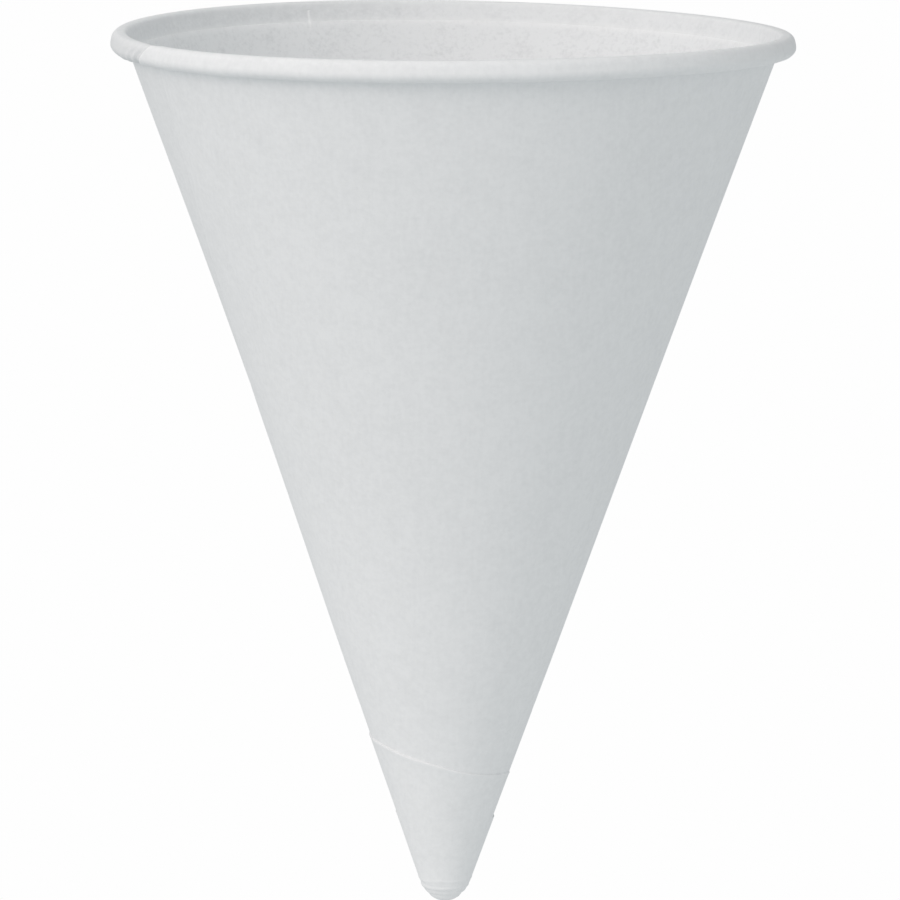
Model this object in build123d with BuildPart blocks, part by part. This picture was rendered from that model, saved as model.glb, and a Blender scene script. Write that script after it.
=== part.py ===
import os
from math import acos, asin, atan2, cos, degrees, hypot, radians, sin

from build123d import *

os.makedirs("parts", exist_ok=True)

# A cone paper cup of one wound and glued sheet, standing on its rolled rim with its tip up.
# Millimetres and degrees. The origin is at the centre of the circle that the rim stands on.
# Angles round the cup run anticlockwise from +X, seen from above the tip.

# Driving dimensions
rim_diameter = 73.0  # over the outside of the rolled rim, the widest place
cup_height = 95.0  # from the face of the rim to the outside of the tip
paper = 0.2  # one layer of the sheet
roll_diameter = 2.2  # the curl, where the sheet is double
curl_sweep = 290.0  # how far round the curl turns after it leaves the wall
land_width = 0.5  # flat pressed on the crest of the curl by the curling die
crease_height = 2.2  # where the wall turns into the curl
crease_inset = 1.25  # from the curl's centre in to the crease, on the inside face
tip_radius = 2.75  # blunt pressed tip, on its outside
seam_angle = -21.5  # where the outer edge of the sheet meets the rim
single_angle = 102.5  # stretch past that edge where the sheet is single
seam_distance = 19.2  # nearest that the straight edge of the flat sheet comes to the apex
wrap_depth = 22.1  # from the apex down to where the last wrap's edge crosses the axis
wrap_tilt = 16.5  # slope of that edge
wrap_angle = 200.0  # direction in which it runs nearest the tip

# Derived: the curl's circle, the crease and the ball of the tip
roll_radius = roll_diameter / 2
roll_centre_r = rim_diameter / 2 - roll_radius
roll_centre_z = (roll_radius**2 - (land_width / 2) ** 2) ** 0.5
crease_r = roll_centre_r - crease_inset
tip_layers = 3
cutter_depth = (tip_layers + 1) * paper  # clear of the outermost layer
cutter_overrun = 1.0  # reach of the cutters past the foot of the wall
root_length = 1.0  # reach of the curl's band up inside the wall
seam_steps = 8  # spans of the spline that the seam's edge is drawn with
ball_radius = tip_radius - tip_layers * paper
ball_z = cup_height - tip_radius

# Derived: the wall is the tangent from the crease to the ball
fall = ball_z - crease_height
half_angle = degrees(atan2(crease_r, fall) - asin(ball_radius / hypot(crease_r, fall)))
apex_z = ball_z + tip_radius / sin(radians(half_angle))

# Derived: the sheet's straight edge starts at the foot of the wall and winds up to the tip
foot_slant = (apex_z - crease_height) / cos(radians(half_angle))
flat_turn = degrees(acos(seam_distance / foot_slant))
seam_nearest = seam_angle + flat_turn / sin(radians(half_angle))


# A point on the wall, at a depth of paper outside the cup's inside face: the foot of the wall
# beside the crease, or where it runs into the ball
def wall_foot(depth):
    across = crease_r + depth * cos(radians(half_angle))
    return Vector(across, crease_height + depth * sin(radians(half_angle)))


def wall_head(depth):
    radius = ball_radius + depth
    return Vector(radius * cos(radians(half_angle)), ball_z + radius * sin(radians(half_angle)))


# A vertical plane through the axis, in which the section at an angle is drawn
def section_plane(angle):
    return Plane.XZ.rotated((0, 0, angle))


# The section of the layers laid on the wall and on the tip's ball, between two depths. The
# overrun lengthens them past the foot of the wall.
def layer_section(inner, outer, overrun=0):
    past = Vector(sin(radians(half_angle)), -cos(radians(half_angle))) * overrun
    with BuildSketch(section_plane(0)) as section:
        with BuildLine():
            CenterArc((0, ball_z), ball_radius + inner, half_angle, 90 - half_angle)
            Polyline(wall_head(inner), wall_foot(inner) + past, wall_foot(outer) + past,
                     wall_head(outer))
            CenterArc((0, ball_z), ball_radius + outer, half_angle, 90 - half_angle)
            Line((0, ball_z + ball_radius + outer), (0, ball_z + ball_radius + inner))
        make_face()
    return section.sketch


# The section of the curl: a band that leaves the crease on the tangent, then an arc over the
# crest. The inside face of the cup becomes the outside of the curl. The band is rooted in the
# foot of the wall.
def curl_section(angle, curl_radius, thickness):
    rise = crease_height - roll_centre_z
    start = degrees(atan2(rise, -crease_inset) + acos(curl_radius / hypot(crease_inset, rise)))
    centre = Vector(roll_centre_r, roll_centre_z)
    outward = Vector(1, 0).rotate(Axis.Z, start)
    crease = Vector(crease_r, crease_height)
    up_the_wall = Vector(-sin(radians(half_angle)), cos(radians(half_angle)))
    root = wall_foot(paper / 2) + up_the_wall * root_length
    with BuildSketch(section_plane(angle)) as section:
        with BuildLine():
            skin = CenterArc(centre, curl_radius, start, curl_sweep)
            core = CenterArc(centre, curl_radius - thickness, start, curl_sweep)
            Line(skin @ 1, core @ 1)
            Polyline(skin @ 0, crease, root, crease - outward * thickness, core @ 0)
        make_face()
    return section.sketch


# Where the edge of the outer layer lies, as seen square on from an angle. The edge is straight
# on the flat sheet, so it winds round the cone as a spiral.
def seam_point(angle, view_angle):
    turn = radians((seam_nearest - angle) * sin(radians(half_angle)))
    slant = seam_distance / cos(turn)
    across = slant * sin(radians(half_angle)) * sin(radians(angle - view_angle))
    return (across, apex_z - slant * cos(radians(half_angle)))


# What the last wrap of the tip leaves bare: the third layer below its slanting edge
with BuildPart() as below_wrap:
    revolve(layer_section(2 * paper, cutter_depth, cutter_overrun), axis=Axis.Z)
    wrap_edge = Plane((0, 0, apex_z - wrap_depth)).rotated((0, -wrap_tilt, wrap_angle))
    split(bisect_by=wrap_edge, keep=Keep.BOTTOM)

# What the outer layer leaves bare: the second layer over the single stretch, below the edge
with BuildPart() as below_seam:
    revolve(layer_section(paper, cutter_depth, cutter_overrun), axis=Axis.Z)
    middle = seam_angle + single_angle / 2
    steps = [seam_angle + single_angle * step / seam_steps for step in range(seam_steps + 1)]
    square_on = Plane(
        origin=(0, 0, 0),
        x_dir=Vector(0, 1, 0).rotate(Axis.Z, middle),
        z_dir=Vector(1, 0, 0).rotate(Axis.Z, middle),
    )
    with BuildSketch(square_on):
        with BuildLine():
            edge = Spline([seam_point(angle, middle) for angle in steps])
            Polyline(edge @ 1, (-(edge @ 0).X, (edge @ 0).Y), (-(edge @ 0).X, 0),
                     ((edge @ 0).X, 0), edge @ 0)
        make_face()
    extrude(amount=rim_diameter, mode=Mode.INTERSECT)

# The curl, thicker where the sheet is double, with the die's flat on its crest
with BuildPart() as double_curl:
    double_section = curl_section(seam_angle + single_angle, roll_radius, 2 * paper)
    revolve(double_section, axis=Axis.Z, revolution_arc=360 - single_angle)
    split(bisect_by=Plane.XY, keep=Keep.TOP)

with BuildPart() as single_curl:
    single_section = curl_section(seam_angle, roll_radius - paper, paper)
    revolve(single_section, axis=Axis.Z, revolution_arc=single_angle)

# The cup is one sheet, so it is one solid: three layers at the tip, two round the wall and one
# beside the seam, with the curl along its rim
with BuildPart() as cone_cup:
    revolve(layer_section(0, tip_layers * paper), axis=Axis.Z)
    add(below_wrap.part, mode=Mode.SUBTRACT)
    add(below_seam.part, mode=Mode.SUBTRACT)
    add(double_curl.part)
    add(single_curl.part)

cone_cup.part.label = "cone_cup"
export_step(cone_cup.part, "parts/cone_cup.step")
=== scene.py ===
from math import cos, radians, sin

import bpy
import numpy as np
from mathutils import Matrix, Vector


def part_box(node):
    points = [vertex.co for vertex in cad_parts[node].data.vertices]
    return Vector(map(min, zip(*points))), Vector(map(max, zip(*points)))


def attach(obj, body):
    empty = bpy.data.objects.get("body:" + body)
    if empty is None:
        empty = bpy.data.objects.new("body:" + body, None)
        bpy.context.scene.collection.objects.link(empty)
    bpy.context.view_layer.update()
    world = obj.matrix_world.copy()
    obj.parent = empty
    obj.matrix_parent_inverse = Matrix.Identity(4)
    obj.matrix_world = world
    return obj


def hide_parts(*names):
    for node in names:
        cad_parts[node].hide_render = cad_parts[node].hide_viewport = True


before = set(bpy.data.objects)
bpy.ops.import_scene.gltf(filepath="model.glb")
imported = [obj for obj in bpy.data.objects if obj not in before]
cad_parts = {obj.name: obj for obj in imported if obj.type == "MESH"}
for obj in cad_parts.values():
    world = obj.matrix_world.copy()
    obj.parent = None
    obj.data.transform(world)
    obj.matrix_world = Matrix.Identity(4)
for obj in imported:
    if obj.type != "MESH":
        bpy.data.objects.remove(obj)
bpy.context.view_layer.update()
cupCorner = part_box("cone_cup")[1]  # its y is the rim's radius and its z the cup's height

# Lengths in the tables below are millimetres and angles are degrees, unless a note says
# otherwise. Meshes are filled in metres. Angles round the cup are measured from the front,
# -Y, towards -X, so they grow to the right for someone who looks at the front mouth up.
millimetre = 0.001


# The paper cup is one wound sheet. The table says what the cone is, where the sheet's layers
# end, how its curl and its tip are pressed, how far it is from perfect, and how finely it is
# drawn. Wherever noise is named, it is its lowest and highest wave round the cup and its seed.
cupShape = {
    # the cone, the curl along its rim and the ball of its tip
    "paper": 0.2,  # one layer
    "rimRadius": cupCorner.y / millimetre,
    "height": cupCorner.z / millimetre,
    "creaseInset": 1.25,  # from the curl's centre in to the crease
    "creaseHeight": 2.2,
    "tipRadius": 2.75,
    "tipLayers": 3,
    "tipPoint": (0.065, 44.0, 16.0),  # the ball draws in: by what share, at what rise, how wide
    "innerPole": 88.0,  # rise on the ball of the first row inside, and of the last one outside
    "outerPole": 89.2,

    # the curl
    "curlRadius": 1.1,
    "curlShrink": 0.985,  # so that its waves and its corners stay near the rim's radius
    "curlSquare": 2.6,  # 2 is a round curl, more is squarer
    "curlTurn": -12.0,  # how far the curl's square face looks towards the mouth
    "curlStart": 200.0,  # round the curl's centre, from straight out, over the crest
    "curlEnd": 486.0,
    "curlDrop": 0.14,  # the side of the curl away from the mouth hangs by this share
    "curlCore": 2.4,  # the grid turns back inside the curl, this many layers in
    "curlOutside": (290.0, 50.0),  # where the outside begins, and over how many degrees
    "curlTop": (285.0, 60.0),  # where the top ends, and over how many degrees before
    "landWidth": 0.5,  # flat pressed on the crest

    # the ledge inside the mouth, and the band from it up to the curl
    "creaseLip": 0.08,  # width of the ledge
    "lipWaver": 0.2,  # share by which that varies
    "lipNoise": (5, 30, 3),
    "creaseSteps": ((0.0, 0.05), (0.03, 0.0), (0.25, -0.02), (0.65, -0.04), (0.92, -0.06),
                    (1.0, -0.12)),  # section of the ledge: share of its width, height
    "bandTilt": 16.0,  # the band leans out towards the mouth
    "bandDrop": 0.1,  # where the line of its face passes below the crease
    "bandInside": 0.6,  # how much it counts as the inside, which has the stronger flecks

    # the sheet's outer edge, which is the seam
    "rimSeam": -57.3,  # where it crosses the crest
    "seamAngle": -62.5,  # the same edge where the wall meets the curl
    "curlSeam": (-1.0, -2.5, 1.1),  # on the curl: turned from those two, and how soon it crosses
    "seamDistance": 19.2,  # nearest that this edge comes to the apex on the flat sheet
    "seamEase": 3.0,  # how soon the sheet before the edge rises level with it
    "seamLip": 0.20,  # width of the lip at the edge
    "curlSeamStep": (0.9, 0.25),  # how far the curl sinks and the lip stands out, in layers
    "wallSeamStep": (0.55, 0.05),
    "wallSeamHighlight": 0.1,  # painted highlight on the edge on the wall, where 1 is on the curl
    "lapEnd": 189.0,  # where the outer layer climbs over what is under it
    "lapEase": 3.0,  # width over which it climbs
    "lapDent": (0.05, 0.6, 0.5, 0.40),  # its depth, turn, slant a millimetre, and width
    "dentPaintedShadow": 30.0,  # painted shadow in the dent: how much darker, in layers a millimetre
    "bareCrease": 0.5,  # share of a single layer's darkening, partly painted shade, that shows at the crease,
    "bareWall": 0.45,  # and on the wall
    "bareCurl": 1.4,  # what the outside of the curl shows past the whole of it, as more painted shade

    # the sheet's inner end, under the rim
    "innerEnd": 208.0,
    "innerStep": (0.5, 0.4, 14.0),  # its step in layers, and degrees to rise and to level out
    "innerFade": 0.5,  # height over which the step dies away down the wall
    "innerEndHighlight": (0.2, 0.05, 0.25),  # painted highlight on its cut edge: how white, its turn, and its width
    "paintedCreaseHighlight": (0.66, 0.38),  # painted highlight along the crease at the back of the mouth: how white, how wide
    "creaseHighlightReach": (170.0, 140.0, 50.0),  # the middle of that, how far it goes, how soon it ends

    # the wall, the last wrap's slanting edge, and a further layer's end, to the right and
    # round the back
    "innerFoot": 0.12,  # the inside of the wall ends this far above the crease
    "wallFoot": 0.15,  # the outside of the wall begins this far above the crease
    "wallCrowd": 1.1,  # above 1, its rows are closer at the foot
    "joinHeight": 73.9,  # its plain rows end here, short of the wrap
    "edgeAbove": 3.0,  # the two edges are drawn at the columns' angles this far above that
    "wrapDepth": 21.67,  # from the apex down to the edge
    "wrapSlant": 0.0973,  # share by which that depth varies round the cup
    "wrapAngle": 90.0,  # where that edge runs nearest the tip
    "wrapSag": (0.45, 62.0, 25.0),  # it sags here: how far, where, and over how many degrees
    "wrapWaver": 0.05,  # noise in its height
    "wrapNoise": (2, 9, 21),
    "wrapStep": (0.25, 0.7, 30.0),  # in layers: its least, what it gains, and the turn of that
    "wrapHighlight": (0.25, 50.0, 60.0),  # painted highlight on the edge: its share at the right, where it falls, over how much
    "wrapSteps": ((-0.30, 0, 0, 0), (-0.10, 0, 0, 0), (-0.04, 0, 0.5, 0), (0.03, 1, 0.7, 0.02),
                  (0.10, 1, 0.7, 0.03), (0.20, 1, 0.4, 0.02),
                  (0.45, 1, 0, 0)),  # section of the edge: height, wrapped, painted highlight, extra
    "tuckHeight": 85.3,  # the further layer's end
    "tuckSlant": (0.25, 80.0),  # half its rise round the cup, and where it is highest
    "tuckStep": (0.75, 76.0, 10.0, 300.0, 60.0),  # in layers, then start, rise, end and fall
    "tuckSteps": ((-0.25, 0), (-0.06, 0), (-0.012, 0), (0.02, 1), (0.09, 1),
                  (0.3, 1)),  # section of that end: height, tucked

    # the rings that the tip press leaves: place up the tip, size, turn and seed
    "tipRings": ((0.77, 0.9, -35, 31), (1.05, -0.3, -35, 38), (1.36, -0.9, 20, 32),
                 (1.62, 0.9, -50, 33), (1.98, -1.0, -30, 34), (2.38, 0.8, -10, 35),
                 (2.75, -0.6, 10, 36), (3.2, 0.5, -20, 37)),
    "tipRing": 0.055,  # height of one of size 1
    "ringWidth": 0.16,
    "ringAskew": (0.12, 0.05),  # how far it leans and wavers
    "ringWaver": (2, 6),  # lowest and highest wave of that,
    "ringFading": (1, 6),  # and of how its strength varies
    "ringStrength": (0.8, 0.35),  # its usual strength, and the swing of that
    "ringFoot": 1.6,  # the rings start this far below the ball

    # how far the cup is from a perfect cone
    "waist": (0.20, 0.72, 1.2),  # the wall draws in, over this share of the height, how peaked
    "bow": (-0.14, 0.36, 0.26),  # the axis bends to the right: by how much, where, how wide
    "bowFade": 0.2,  # share of the height below the tip over which the bend ends
    "outOfRound": 0.04,
    "lobes": ((2, 1.0, 35.0), (3, 0.6, -80.0)),  # of that, each: count, size and turn
    "ripple": 0.035,  # long soft waves down the wall
    "rippleNoise": (3, 13, 41),
    "rippleTwist": 30.0,  # how far they wind round on their way up
    "rippleFade": 20.0,  # radius below which they die away
    "curlWave": 0.03,
    "curlNoise": (4, 34, 11),
    "crumple": 0.16,  # small folds in the curl beside the seam, each below: size, turn, width
    "folds": ((-1.0, 1.9, 0.5), (0.6, 3.1, 0.7), (-0.8, 4.6, 0.55), (0.5, 5.9, 0.7),
              (-0.5, 7.6, 0.7), (0.3, 9.2, 0.9)),
    "foldReach": (315.0, 40.0, 470.0, 30.0),  # round the curl: start, rise, end and fall
    "rimLean": (0.17, 142.0),  # the rim's plane: how far it dips, and where it is lowest
    "rimTwist": (0.24, 29.0),  # the rim's saddle: its height, and one of its two low places
    "rimFade": 18.0,  # height up the wall over which both die away

    # the grid: columns round the cup, and rows along the sheet
    "columns": 256,
    "foldColumns": (1.1, 11.0, 0.45),  # degrees before the seam: from, to, spacing
    "tickColumns": (-0.6, -0.35, -0.15, 0.0, 0.15, 0.35, 0.6),  # about the sheet's two ends
    "seamColumns": (0.012, 0.07, 0.2, 0.45),  # distances from the seam
    "seamCaps": (0.1, 0.25, 0.4, 0.55),  # their most, as shares of the columns' spacing
    "innerBallRows": 6,
    "innerRows": 30,
    "bandRows": 9,
    "curlRows": 42,
    "backRows": 8,
    "wallRows": 58,
    "wrapRows": 6,
    "tuckRows": 7,
    "noseRows": 8,
    "ringRows": 20,
    "ballRows": 30,
}


# Smooth step from 0 to 1 as x goes from 0 to 1: three x squared less two x cubed.
def smoothStep(x):
    x = np.clip(x, 0, 1)
    return x * x * (3 - 2 * x)


# A bell of height 1 at the centre, one width out it is down to 0.37.
def bell(x, centre, width):
    return np.exp(-(((x - centre) / width) ** 2))


# An angle from another, between -180 and 180.
def turnFrom(angle, other):
    return (angle - other + 180) % 360 - 180


# Equal shares of a way, the last of them at its end: 1, 2, 3 and so on over the count.
def sharesTo(count):
    return (np.arange(count) + 1) / count


# Equal shares of a way, clear of both ends: the same over one more than the count.
def sharesWithin(count):
    return (np.arange(count) + 1) / (count + 1)


# Repeating noise of an angle: a sum of sines of whole frequencies with seeded phases, scaled
# so that its usual swing is about 1.
def ringNoise(angle, lowest, highest, seed):
    phases = np.random.default_rng(seed).uniform(0, 2 * np.pi, (highest - lowest + 1, 2))
    waves = [
        np.sin(k * np.radians(angle) + phase[0]) * (0.6 + 0.4 * np.sin(phase[1]))
        for k, phase in zip(range(lowest, highest + 1), phases)
    ]
    return sum(waves) / np.sqrt(len(waves) / 2)


# What follows from the table. The wall is the tangent from the crease to the ball of the tip,
# and its apex is where the outermost layer would meet the axis.
def coneOf(shape):
    creaseR = shape["rimRadius"] - shape["curlRadius"] - shape["creaseInset"]
    ballRadius = shape["tipRadius"] - shape["tipLayers"] * shape["paper"]
    ballZ = shape["height"] - shape["tipRadius"]
    fall = ballZ - shape["creaseHeight"]
    halfAngle = np.arctan2(creaseR, fall) - np.arcsin(ballRadius / np.hypot(creaseR, fall))
    return {
        "curlR": shape["rimRadius"] - shape["curlRadius"],
        "curlZ": np.sqrt(shape["curlRadius"] ** 2 - (shape["landWidth"] / 2) ** 2),
        "creaseR": creaseR,
        "ballRadius": ballRadius,
        "ballZ": ballZ,
        "halfAngle": halfAngle,
        "slope": np.tan(halfAngle),
        "apexZ": ballZ + shape["tipRadius"] / np.sin(halfAngle),
    }


# Columns of the grid, as turns from the seam in degrees. They are even round the cup and
# closer over the folds before the seam and where the sheet's inner end shows under the rim.
# Four columns on each side of the seam lie at small distances from it instead, in
# millimetres, but never further than their cap in degrees.
def columnsOf(shape):
    spacing = 360 / shape["columns"]
    even = np.linspace(0, 360, shape["columns"] + 1)
    even = even[(even > 1) & (even < 359)]
    folds = 360 - np.arange(*shape["foldColumns"])
    ticks = [
        (shape[end] - shape["rimSeam"]) % 360 + step
        for end in ("innerEnd", "lapEnd")
        for step in shape["tickColumns"]
    ]
    turns = np.sort(np.concatenate([even, folds, ticks]))
    beside = np.array(shape["seamColumns"])
    caps = spacing * np.array(shape["seamCaps"])
    zeros = np.zeros(len(turns))
    return {
        "turns": np.concatenate([0 * beside, turns, 0 * beside + 360]),
        "nudges": np.concatenate([beside, zeros, -beside[::-1]]),
        "caps": np.concatenate([caps, zeros, caps[::-1]]),
    }


# The angles of one row: the seam's angle there, plus each turn, plus the nudges as angles.
def rowAngles(seam, radius, cup):
    leastRadius = 0.02
    reach = np.degrees(np.abs(cup["nudges"]) / max(radius, leastRadius))
    return seam + cup["turns"] + np.sign(cup["nudges"]) * np.minimum(reach, cup["caps"])


# One row of the sheet: each point's angle, radius and height, the layers that show there,
# which also carry painted shade, how much painted highlight whitens it, and whether it is on
# the cup's inside.
def sheetRow(angle, radius, height, layers, edge=0.0, inside=0.0):
    return np.stack(np.broadcast_arrays(angle, radius, height, layers, edge, inside))


# The radius of the wall's inside face at a height: a straight slope in from the crease.
def wallRadius(z, cup):
    return cup["creaseR"] - (z - cup["creaseHeight"]) * cup["slope"]


# The angle of the sheet's outer edge at a height on the wall. The edge is straight on the flat
# sheet, so its angle is the arc cosine of its nearest distance over the slant distance.
def seamAngleAt(z, cup):
    slant = (cup["apexZ"] - z) / np.cos(cup["halfAngle"])
    footSlant = (cup["apexZ"] - cup["creaseHeight"]) / np.cos(cup["halfAngle"])
    flatTurn = np.arccos(cup["seamDistance"] / footSlant)
    flatHere = np.arccos(np.clip(cup["seamDistance"] / slant, -1, 1))
    return cup["seamAngle"] - np.degrees(flatTurn - flatHere) / np.sin(cup["halfAngle"])


# The angle of the same edge on the curl, a share of the way round it: a smooth step across.
def curlSeamAt(part, cup):
    first, last, haste = cup["curlSeam"]
    start = cup["rimSeam"] + first
    return start + (cup["seamAngle"] + last - start) * smoothStep(part * haste)


# The height of the slanting edge of the last wrap: a plane that cuts the cone askew, less a
# bell where the edge sags.
def wrapHeight(angle, cup):
    lean = 1 + cup["wrapSlant"] * np.cos(np.radians(angle - cup["wrapAngle"]))
    sag, middle, width = cup["wrapSag"]
    return cup["apexZ"] - cup["wrapDepth"] / lean - sag * bell(turnFrom(angle, middle), 0, width)


# Share of the outer layer that lies at an angle: 1 from the seam to the lap's end, then a soft
# fall to 0 until the seam comes round again.
def lapShare(angle, seam, radius, cup):
    reach = (cup["lapEnd"] - seam) % 360
    return 1 - smoothStep((angle - seam - reach) / np.degrees(cup["lapEase"] / max(radius, 1)))


# Beside the seam: how far the sheet sinks below its usual level just before the edge, and how
# far the edge's own lip stands proud. Each is 1 at the edge and dies away with distance, the
# first as an exponential and the second as a bell.
def besideSeam(angle, seam, radius, cup):
    after = np.radians(angle - seam) * radius
    before = np.radians(seam + 360 - angle) * radius
    return np.exp(-before / cup["seamEase"]), bell(after, 0, cup["seamLip"])


# The step of the sheet's inner end: it rises at once and levels out round the cup.
def innerStep(angle, cup):
    layers, rise, ease = cup["innerStep"]
    turn = (angle - cup["innerEnd"] + rise / 2) % 360
    return layers * cup["paper"] * smoothStep(turn / rise) * np.exp(-turn / ease)


# The painted highlight on that end: how white it is, a narrow bell.
def innerEndHighlight(angle, cup):
    white, turn, width = cup["innerEndHighlight"]
    return white * bell(turnFrom(angle, cup["innerEnd"]), turn, width)


# Painted highlight where the crease catches the light softly along the back of the mouth: a
# bell across its height, faded out towards the front.
def paintedCreaseHighlight(angle, z, cup):
    white, width = cup["paintedCreaseHighlight"]
    middle, reach, soft = cup["creaseHighlightReach"]
    lit = smoothStep((reach - np.abs(turnFrom(angle, middle))) / soft)
    return white * lit * bell(z, cup["creaseHeight"], width)


# The end of the outer layer leaves a short slanting dent in the curl and the band: a bell
# whose middle moves round with height.
def lapDent(angle, z, cup):
    depth, turn, slant, width = cup["lapDent"]
    return depth * bell(turnFrom(angle, cup["lapEnd"] + turn + slant * z), 0, width)


# The curl's skin in section: how far it lies from the curl's centre in a direction. It is a
# squared circle, cut off on the cup's inside by the straight band up from the crease. A high
# power of each blends the two into one rounded outline.
def curlReach(psi, cup):
    turned = psi - np.radians(cup["curlTurn"])
    power = cup["curlSquare"]
    square = (np.abs(np.cos(turned)) ** power + np.abs(np.sin(turned)) ** power) ** (-1 / power)
    skin = cup["curlShrink"] * cup["curlRadius"] * square
    skin = skin * (1 + cup["curlDrop"] * np.maximum(np.sin(psi), 0))
    tilt = np.radians(180 + cup["bandTilt"])
    across = cup["creaseR"] + cup["creaseLip"] - cup["curlR"]
    up = cup["creaseHeight"] - cup["bandDrop"] - cup["curlZ"]
    bandAway = across * np.cos(tilt) + up * np.sin(tilt)
    facing = np.cos(psi - tilt)
    leastFacing, outOfReach, blend = 0.3, 99, 10
    band = np.where(facing > leastFacing, bandAway / np.maximum(facing, leastFacing), outOfReach)
    return (skin ** -blend + band ** -blend) ** (-1 / blend)


# The inside of the tip's ball, an arc, then of the wall, its tangent. The wall's rows crowd
# towards the crease, by the square of the share that is left.
def insideRows(cup):
    rows = []
    for beta in np.linspace(radians(cup["innerPole"]), cup["halfAngle"], cup["innerBallRows"]):
        radius = cup["ballRadius"] * cos(beta)
        angle = rowAngles(cup["rimSeam"], radius, cup)
        rows.append(sheetRow(angle, radius, cup["ballZ"] + cup["ballRadius"] * sin(beta), 2, 0, 1))
    headZ = cup["ballZ"] + cup["ballRadius"] * np.sin(cup["halfAngle"])
    footZ = cup["creaseHeight"] + cup["innerFoot"]
    for part in sharesTo(cup["innerRows"]):
        z = headZ + (footZ - headZ) * (1 - (1 - part) ** 2)
        radius = wallRadius(z, cup)
        angle = rowAngles(cup["rimSeam"], radius, cup)
        fade = np.exp(-(z - cup["creaseHeight"]) / cup["innerFade"])
        # Painted highlight on the inner end's edge and along the crease.
        white = np.maximum(innerEndHighlight(angle, cup) * fade, paintedCreaseHighlight(angle, z, cup))
        rows.append(sheetRow(angle, radius + innerStep(angle, cup) * fade, z, 2, white, 1))
    return rows


# The crease with its ledge, by the steps of its section, then the band: a straight line from
# the ledge to where the curl starts.
def creaseRows(cup):
    angle = rowAngles(cup["rimSeam"], cup["creaseR"], cup)
    lip = cup["creaseLip"] * (1 + cup["lipWaver"] * ringNoise(angle, *cup["lipNoise"]))
    step = innerStep(angle, cup)
    share = lapShare(angle, cup["rimSeam"], cup["creaseR"], cup)
    rows = []
    for out, up in cup["creaseSteps"]:
        z = cup["creaseHeight"] + up
        # Painted highlight on the inner end's edge and along the crease.
        white = np.maximum(innerEndHighlight(angle, cup), paintedCreaseHighlight(angle, z, cup))
        # Where the single sheet shows it is darker, partly as painted shade.
        layers = 2 - cup["bareCrease"] * (1 - share)
        rows.append(sheetRow(angle, cup["creaseR"] + lip * out + step, z, layers, white, 1))
    startPsi = radians(cup["curlStart"])
    startReach = curlReach(startPsi, cup)
    foot = np.array([cup["creaseR"], cup["creaseHeight"] + cup["creaseSteps"][-1][1]])
    head = np.array([cup["curlR"] + startReach * cos(startPsi),
                     cup["curlZ"] + startReach * sin(startPsi)])
    for part in sharesWithin(cup["bandRows"]):
        across, z = foot + (head - foot) * part
        dent = lapDent(angle, z, cup)
        # Painted highlight on the inner end's edge and along the crease.
        white = np.maximum(innerEndHighlight(angle, cup), paintedCreaseHighlight(angle, z, cup))
        # In the band the single sheet shows darker, partly as painted shade, and the dent is
        # darkened as painted shadow.
        rows.append(sheetRow(angle, across + lip * (1 - part) + step + dent, z,
                             1 + share - cup["dentPaintedShadow"] * dent, white, cup["bandInside"]))
    return rows


# The curl: its outline swept over the crest and round to the wall, with the seam leaning
# across it, a sum of bells for the folds in the single sheet before the seam, and a slight
# wave on its outside.
def curlRows(cup):
    outsideFrom, outsideSoft = cup["curlOutside"]
    topTo, topSoft = cup["curlTop"]
    foldFrom, foldRise, foldTo, foldFall = cup["foldReach"]
    sink, stand = cup["curlSeamStep"]
    rows = []
    for part in np.arange(cup["curlRows"] + 1) / cup["curlRows"]:
        turn = cup["curlStart"] + part * (cup["curlEnd"] - cup["curlStart"])
        psi = radians(turn)
        outside = smoothStep((turn - outsideFrom) / outsideSoft)
        top = smoothStep((topTo - turn) / topSoft)
        seam = curlSeamAt(part, cup)
        angle = rowAngles(seam, cup["curlR"], cup)
        share = lapShare(angle, seam, cup["curlR"], cup)
        sunk, proud = besideSeam(angle, seam, cup["curlR"], cup)
        before = seam + 360 - angle
        folds = sum(size * bell(before, middle, width) for size, middle, width in cup["folds"])
        folded = smoothStep((turn - foldFrom) / foldRise) * smoothStep((foldTo - turn) / foldFall)
        wave = cup["curlWave"] * ringNoise(angle, *cup["curlNoise"]) * outside
        reach = curlReach(psi, cup) + wave + cup["crumple"] * folds * folded
        reach = reach - sink * cup["paper"] * sunk + stand * cup["paper"] * proud
        # The dent also carries painted shadow, through the layers below.
        dent = lapDent(angle, cup["curlZ"] + reach * sin(psi), cup) * top
        reach = reach - innerStep(angle, cup) * top - dent
        # Where the single sheet shows it is darker, partly as painted shade, the more so on the
        # curl's outside.
        bare = (1 - share) * (1 + cup["bareCurl"] * outside)
        # Painted highlight on the seam's lip and on the inner end's edge.
        rows.append(sheetRow(angle, cup["curlR"] + reach * cos(psi),
                             cup["curlZ"] + reach * sin(psi), 2 - bare - cup["dentPaintedShadow"] * dent,
                             np.maximum(proud, innerEndHighlight(angle, cup) * top)))
    return rows


# Back inside the curl to the foot of the outside wall: the same outline, some layers in.
def curlBackRows(cup):
    rows = []
    for part in 1 - (np.arange(cup["backRows"]) + 0.5) / cup["backRows"]:
        psi = radians(cup["curlStart"] + part * (cup["curlEnd"] - cup["curlStart"]))
        seam = cup["seamAngle"] + (curlSeamAt(1, cup) - cup["seamAngle"]) * part
        core = curlReach(psi, cup) - cup["curlCore"] * cup["paper"]
        rows.append(sheetRow(rowAngles(seam, cup["curlR"], cup), cup["curlR"] + core * cos(psi),
                             cup["curlZ"] + core * sin(psi), 2))
    return rows


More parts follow.
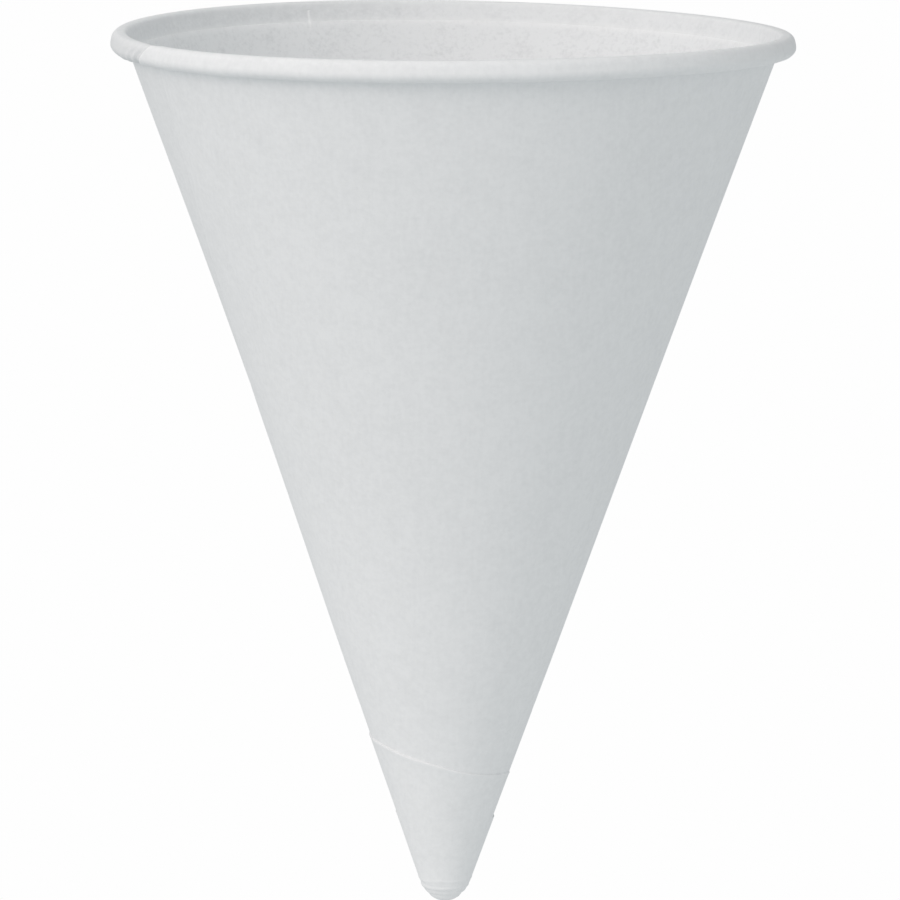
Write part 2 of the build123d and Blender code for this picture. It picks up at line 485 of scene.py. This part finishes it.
# One row on the outside of the wall. Its depth is counted in layers from the inside face: two,
# less what it sinks before the seam, plus a step for the last wrap, the sixth power of a cosine
# round the cup, and one for the tuck, between two smooth steps. Towards the tip the press makes
# all of it even.
def outerRow(cup, z, seam, wrapped=0, tucked=0, white=0, extra=0, even=0):
    radius = wallRadius(float(np.mean(z)), cup)
    angle = rowAngles(seam, radius, cup)
    share = lapShare(angle, seam, radius, cup)
    sunk, proud = besideSeam(angle, seam, radius, cup)
    sink, stand = cup["wallSeamStep"]
    least, gain, turn = cup["wrapStep"]
    wrapStep = least + gain * np.cos(np.radians(angle + turn) / 2) ** 6
    step, start, rise, end, fall = cup["tuckStep"]
    way = angle % 360
    tuckStep = step * smoothStep((way - start) / rise) * smoothStep((end - way) / fall)
    layers = 2 + (stand * proud - sink * sunk) * (1 - wrapped)
    layers = layers + wrapped * wrapStep + tucked * tuckStep
    depth = cup["paper"] * (layers + (cup["tipLayers"] - layers) * even) + extra
    across = np.cos(cup["halfAngle"]) + np.sin(cup["halfAngle"]) * cup["slope"]
    # The single sheet shows darker, partly as painted shade.
    bare = cup["bareWall"] * (1 - np.maximum(share, wrapped))
    # Painted highlight on the seam's lip on the wall.
    white = np.maximum(white, cup["wallSeamHighlight"] * proud * (1 - wrapped))
    return sheetRow(angle, wallRadius(z, cup) + depth * across, z, 2 - bare, white)


# The outside of the wall, from the curl to short of the wrap.
def wallRows(cup):
    footZ = cup["creaseHeight"] + cup["wallFoot"]
    parts = np.linspace(0, 1, cup["wallRows"] + 1) ** cup["wallCrowd"]
    heights = footZ + (cup["joinHeight"] - footZ) * parts
    return [outerRow(cup, z, seamAngleAt(z, cup)) for z in heights]


# The columns' angles near the tip, and the heights of the wrap's edge and of the tuck's at
# each: the slanting plane with a little noise, and a cosine round the cup.
def wrapAndTuck(cup):
    joinZ = cup["joinHeight"]
    angle = rowAngles(seamAngleAt(joinZ, cup), wallRadius(joinZ + cup["edgeAbove"], cup), cup)
    wrapZ = wrapHeight(angle, cup) + cup["wrapWaver"] * ringNoise(angle, *cup["wrapNoise"])
    rise, highest = cup["tuckSlant"]
    return angle, wrapZ, cup["tuckHeight"] + rise * np.cos(np.radians(angle - highest))


# On to the slanting edge of the last wrap and over it, then to the tuck and over that.
def wrapRows(cup):
    joinZ = cup["joinHeight"]
    seam = seamAngleAt(joinZ, cup)
    angle, wrapZ, tuckZ = wrapAndTuck(cup)
    # Painted highlight along the wrap's edge, fading towards the right.
    least, start, soft = cup["wrapHighlight"]
    lit = least + (1 - least) * smoothStep((start - turnFrom(angle, 0)) / soft)
    rows = [outerRow(cup, joinZ + (wrapZ - joinZ) * part, seam)
            for part in sharesWithin(cup["wrapRows"])]
    for up, wrapped, white, extra in cup["wrapSteps"]:
        rows.append(outerRow(cup, wrapZ + up, seam, wrapped, 0, white * lit, extra))
    pastZ = wrapZ + cup["wrapSteps"][-1][0]
    for part in sharesWithin(cup["tuckRows"]):
        rows.append(outerRow(cup, pastZ + (tuckZ - pastZ) * part, seam, 1))
    for up, tucked in cup["tuckSteps"]:
        rows.append(outerRow(cup, tuckZ + up, seam, 1, tucked))
    return rows


# The ridges of the tip press at a way up the tip: a sum of bells, each a ring that leans,
# wavers and varies in strength round the cup.
def tipRidges(angle, path, cup):
    lean, waver = cup["ringAskew"]
    usual, swing = cup["ringStrength"]
    seedGap = 20
    total = 0
    for place, size, turn, seed in cup["tipRings"]:
        askew = place + lean * np.cos(np.radians(angle - turn))
        askew = askew + waver * ringNoise(angle, *cup["ringWaver"], seed)
        strength = usual + swing * ringNoise(angle, *cup["ringFading"], seed + seedGap)
        total = total + size * strength * bell(path, askew, cup["ringWidth"])
    return cup["tipRing"] * total


# The nose, where the layers become even, the ringed end of the wall, and the ball of the tip:
# an arc, drawn in by a bell at its shoulder, with the ridges dying away before the pole.
def tipRows(cup):
    seam = seamAngleAt(cup["joinHeight"], cup)
    angle, _, tuckZ = wrapAndTuck(cup)
    noseZ = tuckZ + cup["tuckSteps"][-1][0]
    ringZ = cup["ballZ"] + cup["tipRadius"] * np.sin(cup["halfAngle"]) - cup["ringFoot"]
    rows = [outerRow(cup, noseZ + (ringZ - noseZ) * part, seam, 1, 1, even=smoothStep(part))
            for part in sharesTo(cup["noseRows"])]
    for path in cup["ringFoot"] * sharesTo(cup["ringRows"]):
        ridges = tipRidges(angle, path, cup)
        rows.append(outerRow(cup, ringZ + path, seam, 1, 1, extra=ridges, even=1))
    drawn, middle, width = cup["tipPoint"]
    plainFrom, plainSoft = 1.5, 0.2  # radians of rise: past the first, no ridges
    for part in sharesTo(cup["ballRows"]):
        beta = cup["halfAngle"] + (radians(cup["outerPole"]) - cup["halfAngle"]) * part
        angle = rowAngles(seam, cup["tipRadius"] * cos(beta), cup)
        path = cup["ringFoot"] + cup["tipRadius"] * (beta - cup["halfAngle"])
        ridges = tipRidges(angle, path, cup) * smoothStep((plainFrom - beta) / plainSoft)
        pointed = 1 - drawn * bell(beta, radians(middle), radians(width))
        swell = (cup["tipRadius"] + ridges) * pointed
        rows.append(sheetRow(angle, swell * cos(beta),
                             cup["ballZ"] + swell * sin(beta) / pointed ** 0.5, 2))
    return rows


# The whole sheet, row by row. It starts inside the tip, comes down the inside of the wall,
# turns over the curl, and climbs the outside to the tip again.
def cupRows(cup):
    stretches = (insideRows, creaseRows, curlRows, curlBackRows, wallRows, wrapRows, tipRows)
    return np.stack([row for stretch in stretches for row in stretch(cup)], axis=1)


# What wear does to every point. The wall draws in at its waist by a power of a sine, the
# section goes a little out of round by two cosines, and soft ripples run down the wall. The
# axis bends by a bell. The rim's plane leans and twists, each a cosine round the cup, so the
# cup is lifted until its lowest place is at 0.
def wearCup(angle, radius, height, cup):
    along = np.clip(height / cup["height"], 0, 1)
    drawIn, reach, peak = cup["waist"]
    radius = radius - drawIn * np.sin(np.pi * np.clip(along / reach, 0, 1)) ** peak
    lobes = sum(size * np.cos(count * np.radians(angle - turn))
                for count, size, turn in cup["lobes"])
    most = sum(size for count, size, turn in cup["lobes"])
    radius = radius - cup["outOfRound"] * (1 - along) * (1 + lobes / most) / 2
    soft = ringNoise(angle + cup["rippleTwist"] * along, *cup["rippleNoise"])
    soft = soft * np.sin(np.pi * along) ** 0.8 * np.clip(radius / cup["rippleFade"], 0, 1)
    radius = radius + cup["ripple"] * soft

    def dip(at):
        lean, leanLowest = cup["rimLean"]
        twist, twistLowest = cup["rimTwist"]
        return (lean * np.cos(np.radians(at - leanLowest))
                + twist * np.cos(2 * np.radians(at - twistLowest)))

    lift = dip(np.arange(360.0)).max()
    height = height + lift - dip(angle) * np.exp(-((height / cup["rimFade"]) ** 2))
    side, middle, width = cup["bow"]
    bow = side * bell(along, middle, width) * smoothStep((1 - along) / cup["bowFade"])
    return radius, height, bow


# Fills a mesh from a closed grid of points: quads between neighbouring rows and columns, the
# last column joined to the first, and a fan at each pole.
def meshFromGrid(name, points, flat, attributes):
    rows, columns = points.shape[:2]
    index = np.arange(rows * columns).reshape(rows, columns)
    after = np.roll(index, -1, axis=1)
    quads = np.stack([index[:-1], index[1:], after[1:], after[:-1]], axis=-1).reshape(-1, 4)
    startPole, endPole = rows * columns, rows * columns + 1
    startFan = np.stack([np.full(columns, startPole), index[0], after[0]], axis=-1)
    endFan = np.stack([np.full(columns, endPole), after[-1], index[-1]], axis=-1)
    poles = np.array([points[0].mean(axis=0), points[-1].mean(axis=0)])
    vertices = np.concatenate([points.reshape(-1, 3), poles])
    mesh = bpy.data.meshes.new(name)
    mesh.from_pydata(vertices.tolist(), [], quads.tolist() + startFan.tolist() + endFan.tolist())
    mesh.update()
    for label, values in attributes.items():
        ends = [values[0].mean(), values[-1].mean()]
        made = mesh.attributes.new(label, "FLOAT", "POINT")
        made.data.foreach_set("value", np.concatenate([values.reshape(-1), ends]).astype("f"))
    sheetMap = mesh.uv_layers.new(name="sheet")
    corner = np.empty(len(mesh.loops), dtype=np.int32)
    mesh.loops.foreach_get("vertex_index", corner)
    flatAll = np.concatenate([flat.reshape(-1, 2), np.zeros((2, 2))])
    sheetMap.data.foreach_set("uv", flatAll[corner].reshape(-1).astype("f"))
    mesh.polygons.foreach_set("use_smooth", np.ones(len(mesh.polygons), dtype=bool))
    return mesh


# An object in the scene for a mesh or a light.
def placed(name, data):
    made = bpy.data.objects.new(name, data)
    bpy.context.scene.collection.objects.link(made)
    return made


# Places the grid round the axis: seen from above the tip, an angle from the front grows
# clockwise. Each point also gets its place on the flat sheet, for patterns that follow it:
# its slant distance from the apex, turned by its angle times the sine of the half angle.
def buildCup(shape):
    cup = {**shape, **coneOf(shape), **columnsOf(shape)}
    angle, radius, height, layers, edge, inside = cupRows(cup)
    height = np.maximum(height, 0)
    slant = (cup["apexZ"] - height) / np.cos(cup["halfAngle"])
    flatTurn = np.radians(angle) * np.sin(cup["halfAngle"])
    flat = np.stack([slant * np.cos(flatTurn), slant * np.sin(flatTurn)], axis=-1)
    radius, height, bow = wearCup(angle, radius, height, cup)
    turn = np.radians(angle)
    points = np.stack([bow - radius * np.sin(turn), -radius * np.cos(turn), height], axis=-1)
    # The edge attribute carries the painted highlights, and the layers attribute carries painted
    # shade as well as the layers.
    attributes = {"layers": layers, "edge": edge, "inside": inside}
    mesh = meshFromGrid("paperCup", points * millimetre, flat * millimetre, attributes)
    return placed("paperCup", mesh)


# Wraps one socket of a node tree, so that sums and products of sockets read as plain maths.
class Wire:
    def __init__(self, tree, socket=None):
        self.tree = tree
        self.socket = socket

    # Adds a node of a type: its settings first, then the numbers or links of its inputs.
    def node(self, kind, settings=None, inputs=None, output=0):
        made = self.tree.nodes.new(kind)
        for name, value in (settings or {}).items():
            setattr(made, name, value)
        for key, value in (inputs or {}).items():
            if isinstance(value, Wire):
                self.tree.links.new(value.socket, made.inputs[key])
            else:
                made.inputs[key].default_value = value
        return Wire(self.tree, made.outputs[output] if made.outputs else None)

    def maths(self, operation, first, second):
        return self.node("ShaderNodeMath", {"operation": operation}, {0: first, 1: second})

    def __add__(self, other):
        return self.maths("ADD", self, other)

    def __radd__(self, other):
        return self.maths("ADD", other, self)

    def __sub__(self, other):
        return self.maths("SUBTRACT", self, other)

    def __rsub__(self, other):
        return self.maths("SUBTRACT", other, self)

    def __mul__(self, other):
        return self.maths("MULTIPLY", self, other)

    def __rmul__(self, other):
        return self.maths("MULTIPLY", other, self)


# A new material with an empty tree, and a wire to build from.
def emptyMaterial(name):
    material = bpy.data.materials.new(name)
    material.use_nodes = True
    material.node_tree.nodes.clear()
    return material, Wire(material.node_tree)


paperFinish = {
    "colour": (0.862, 0.880, 0.888, 1.0),
    "shade": (0.758, 0.776, 0.785, 1.0),
    # the colour of the painted highlights along edges and the crease
    "paintedHighlight": (0.945, 0.958, 0.962, 1.0),
    "highlightCover": 0.75,  # how far the strongest painted highlight goes towards that colour
    "cloudScale": 70.0,  # per metre, as are the four below
    "mottleScale": 420.0,
    "grainScale": 1500.0,
    "fleckScale": 2300.0,
    "fibreScale": (300.0, 2300.0, 1.0),
    "noiseRoughness": 0.6,
    "evenShade": 0.18,  # share of the shade everywhere
    "insideShade": -0.08,  # and what the inside adds to it
    "clouds": 0.40,  # how strong each pattern is, as a share of the shade
    "mottle": 0.60,
    "grain": 0.95,
    "fibres": 0.35,
    "flecks": 2.2,  # the fine flecks inside the cup
    "fleckMottle": 0.35,
    "single": 0.36,  # how much darker one layer alone is, partly as painted shade
    "roughness": 0.80,
    "grainRoughness": 0.3,
    "specular": 0.30,
    "grainDepth": 0.000020,  # metres
}


# Uncoated paper. Its colour drifts between a near white and its shade with clouds, mottle and
# fine grain, and one layer alone is darker than two, partly as painted shade. Painted highlights
# whiten cut edges and the crease. The surface is the same grain with longer fibres that lie
# along the flat sheet.
def paperMaterial(finish):
    material, wire = emptyMaterial("paper")
    place = wire.node("ShaderNodeTexCoord", output=3)  # object coordinates
    sheet = wire.node("ShaderNodeUVMap", {"uv_map": "sheet"})

    def noise(vector, scale, detail):
        return wire.node("ShaderNodeTexNoise", None, {
            "Vector": vector, "Scale": scale, "Detail": detail,
            "Roughness": finish["noiseRoughness"]}) - 0.5

    def attribute(name):
        return wire.node("ShaderNodeAttribute", {"attribute_name": name}, output=2)

    clouds = noise(place, finish["cloudScale"], 3.0)
    mottle = noise(place, finish["mottleScale"], 3.0)
    grain = noise(place, finish["grainScale"], 2.0)
    specks = noise(place, finish["fleckScale"], 2.0)
    stretched = wire.node("ShaderNodeMapping", None, {
        "Vector": sheet, "Scale": finish["fibreScale"]})
    fibres = noise(stretched, 1.0, 2.0)
    # One layer alone is darker, partly as painted shade; the layers also carry the dent's painted
    # shadow.
    single = (2 - attribute("layers")) * finish["single"]
    texture = (clouds * finish["clouds"] + mottle * finish["mottle"] + grain * finish["grain"]
               + fibres * finish["fibres"])
    flecks = attribute("inside") * (specks + mottle * finish["fleckMottle"]) * finish["flecks"]
    shadeShare = (texture + flecks + single + finish["evenShade"]
                  + attribute("inside") * finish["insideShade"])
    colour = wire.node("ShaderNodeMix", {"data_type": "RGBA"}, {
        "Factor": shadeShare, 6: finish["colour"], 7: finish["shade"]}, output=2)
    # Painted highlights: the edge attribute whitens the colour towards the highlight colour.
    colour = wire.node("ShaderNodeMix", {"data_type": "RGBA"}, {
        "Factor": attribute("edge") * finish["highlightCover"], 6: colour, 7: finish["paintedHighlight"]},
        output=2)
    normal = wire.node("ShaderNodeBump", None, {
        "Strength": 1.0, "Distance": finish["grainDepth"], "Height": grain + fibres + mottle})
    shader = wire.node("ShaderNodeBsdfPrincipled", None, {
        "Base Color": colour, "Roughness": finish["roughness"] + grain * finish["grainRoughness"],
        "Normal": normal, "Specular IOR Level": finish["specular"]})
    wire.node("ShaderNodeOutputMaterial", None, {"Surface": shader})
    return material


# The stage. Its lengths are metres.
stageLook = {
    "floorRadius": 2.5,
    "floorSides": 96,
    "floorDrop": 0.00002,  # clear of the rim
    "fadeStart": 0.10,
    "fadeEnd": 0.55,
    "floorColour": (0.90, 0.90, 0.895, 1.0),
    "plainWhite": (1.0, 1.0, 1.0, 1.0),
    "white": 0.991,  # how bright the background is
    "surround": 0.652,  # how bright the even light on the cup is
    "surroundTint": (0.975, 1.0, 1.008, 1.0),
}


# A pale floor under the rim, a disc faded into the white surround with distance. From below it
# is clear, it casts no shadow and the cup doesn't see it, so it never closes the mouth.
def buildFloor(look):
    ring = np.linspace(0, 2 * np.pi, look["floorSides"], endpoint=False)
    edge = np.stack([np.cos(ring), np.sin(ring), 0 * ring], axis=-1) * look["floorRadius"]
    mesh = bpy.data.meshes.new("floor")
    mesh.from_pydata(edge.tolist(), [], [list(range(look["floorSides"]))])
    floor = placed("floor", mesh)
    floor.location.z = -look["floorDrop"]
    floor.visible_shadow = False
    floor.visible_diffuse = False
    floor.visible_glossy = False
    floor.visible_transmission = False
    material, wire = emptyMaterial("floor")
    place = wire.node("ShaderNodeTexCoord", output=3)
    distance = wire.node("ShaderNodeVectorMath", {"operation": "LENGTH"}, {0: place}, output=1)
    fade = wire.node("ShaderNodeMapRange", {"interpolation_type": "SMOOTHSTEP"}, {
        "Value": distance, "From Min": look["fadeStart"], "From Max": look["fadeEnd"]})
    matt = wire.node("ShaderNodeBsdfDiffuse", None, {"Color": look["floorColour"]})
    glow = wire.node("ShaderNodeEmission", None, {
        "Color": look["plainWhite"], "Strength": look["white"]})
    lit = wire.node("ShaderNodeMixShader", None, {0: fade, 1: matt, 2: glow})
    clear = wire.node("ShaderNodeBsdfTransparent")
    below = wire.node("ShaderNodeNewGeometry", output=6)  # 1 on the back of the face
    surface = wire.node("ShaderNodeMixShader", None, {0: below, 1: lit, 2: clear})
    wire.node("ShaderNodeOutputMaterial", None, {"Surface": surface})
    mesh.materials.append(material)


# The surround: white where the camera sees it, a dimmer even light for the cup.
def buildSurround(look):
    world = bpy.data.worlds.new("surround")
    world.use_nodes = True
    world.node_tree.nodes.clear()
    wire = Wire(world.node_tree)
    seen = wire.node("ShaderNodeLightPath")  # 1 for what the camera sees
    white = wire.node("ShaderNodeBackground", None, {
        "Color": look["plainWhite"], "Strength": look["white"]})
    soft = wire.node("ShaderNodeBackground", None, {
        "Color": look["surroundTint"], "Strength": look["surround"]})
    mixed = wire.node("ShaderNodeMixShader", None, {0: seen, 1: soft, 2: white})
    wire.node("ShaderNodeOutputWorld", None, {"Surface": mixed})
    bpy.context.scene.world = world


# The direction of something hung about the cup, as a unit vector made of the cosines and sines
# of its angle from the front towards the right and of its rise, both for someone who holds the
# cup mouth up.
def hangingWay(place):
    angle, rise = radians(place["angle"]), radians(place["rise"])
    return Vector((-sin(angle) * cos(rise), -cos(angle) * cos(rise), -sin(rise)))


# A small black card by the right end of the rim. Its angle and rise are as seen from that end,
# and its distance and side are metres.
darkCard = {
    "angle": 90,
    "rise": 62,
    "distance": 0.070,
    "side": 0.060,
    "black": (0.02, 0.02, 0.02, 1.0),
}


# Hangs the card, a square that faces the rim's right end and keeps the even light off it. The
# camera doesn't see it.
def hangCard(card):
    way = hangingWay(card)
    half = card["side"] / 2
    mesh = bpy.data.meshes.new("darkCard")
    mesh.from_pydata([(-half, -half, 0), (half, -half, 0), (half, half, 0), (-half, half, 0)],
                     [], [[0, 1, 2, 3]])
    hung = placed("darkCard", mesh)
    hung.location = Vector((-cupCorner.y, 0, 0)) + way * card["distance"]
    hung.rotation_euler = (-way).to_track_quat("Z", "Y").to_euler()
    hung.visible_camera = False
    material, wire = emptyMaterial("darkCard")
    black = wire.node("ShaderNodeBsdfDiffuse", None, {"Color": card["black"]})
    wire.node("ShaderNodeOutputMaterial", None, {"Surface": black})
    mesh.materials.append(material)


# The soft boxes. Each is aimed at a place on the axis, a share of the cup's height from the
# mouth to the tip. Distance and side are metres.
softBoxes = {
    "key": {"angle": -48, "rise": 25, "distance": 1.0, "side": 0.40, "spread": 180,
            "watts": 1.62, "aimHeight": 0.5, "colour": (1.0, 0.90, 0.87)},
    "topFront": {"angle": -25, "rise": 48, "distance": 1.0, "side": 0.90, "spread": 180,
                 "watts": 2.2, "aimHeight": 0.5, "colour": (1.0, 0.90, 0.87)},
    "side": {"angle": -95, "rise": 20, "distance": 1.0, "side": 0.90, "spread": 180,
             "watts": 0.35, "aimHeight": 0.5, "colour": (1.0, 0.90, 0.87)},
    "tipFill": {"angle": -10, "rise": -40, "distance": 0.40, "side": 0.03, "spread": 16,
                "watts": 0.0009, "aimHeight": 1.0, "colour": (1.0, 0.93, 0.90)},
}


# Hangs a square soft box in its direction and turns it to its aim.
def hangSoftBox(name, box):
    way = hangingWay(box)
    light = bpy.data.lights.new(name, "AREA")
    light.shape = "SQUARE"
    light.size = box["side"]
    light.spread = radians(box["spread"])
    light.energy = box["watts"]
    light.color = box["colour"]
    lamp = placed(name, light)
    lamp.location = Vector((0, 0, cupCorner.z * box["aimHeight"])) + way * box["distance"]
    lamp.rotation_euler = (-way).to_track_quat("-Z", "Y").to_euler()
    lamp.visible_camera = False


# The view. Distances are metres.
cameraSet = {
    "distance": 0.650,  # from the axis
    "drop": 0.0559,  # past the plane of the rim
    "aimPitch": 8.88,
    "roll": 180.55,
    "sideStep": -0.00009,
    "lens": 244.1,  # millimetres, as is the frame
    "frame": 36.0,
    "clip": (0.02, 20.0),
}


# Puts the camera in front of the cup and a little past its mouth, pitched up to it and turned
# over, so that the cup, which stands on its rim, is seen mouth up.
def buildCamera(view):
    data = bpy.data.cameras.new("camera")
    data.lens = view["lens"]
    data.sensor_width = view["frame"]
    data.clip_start, data.clip_end = view["clip"]
    camera = placed("camera", data)
    pitch = radians(view["aimPitch"])
    aim = Vector((0, cos(pitch), sin(pitch))).to_track_quat("-Z", "Y").to_matrix().to_4x4()
    spot = Matrix.Translation((view["sideStep"], -view["distance"], -view["drop"]))
    camera.matrix_world = spot @ aim @ Matrix.Rotation(radians(view["roll"]), 4, "Z")
    bpy.context.scene.camera = camera


paperCup = buildCup(cupShape)
paperCup.data.materials.append(paperMaterial(paperFinish))
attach(paperCup, "root")
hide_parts("cone_cup")
print("cup:", len(paperCup.data.vertices), "points,", len(paperCup.data.polygons), "faces")

buildFloor(stageLook)
buildSurround(stageLook)
hangCard(darkCard)
for boxName, softBox in softBoxes.items():
    hangSoftBox(boxName, softBox)
print("stage: floor, surround, card and", len(softBoxes), "soft boxes")

buildCamera(cameraSet)
bpy.context.scene.view_settings.view_transform = "Standard"
print("camera set")
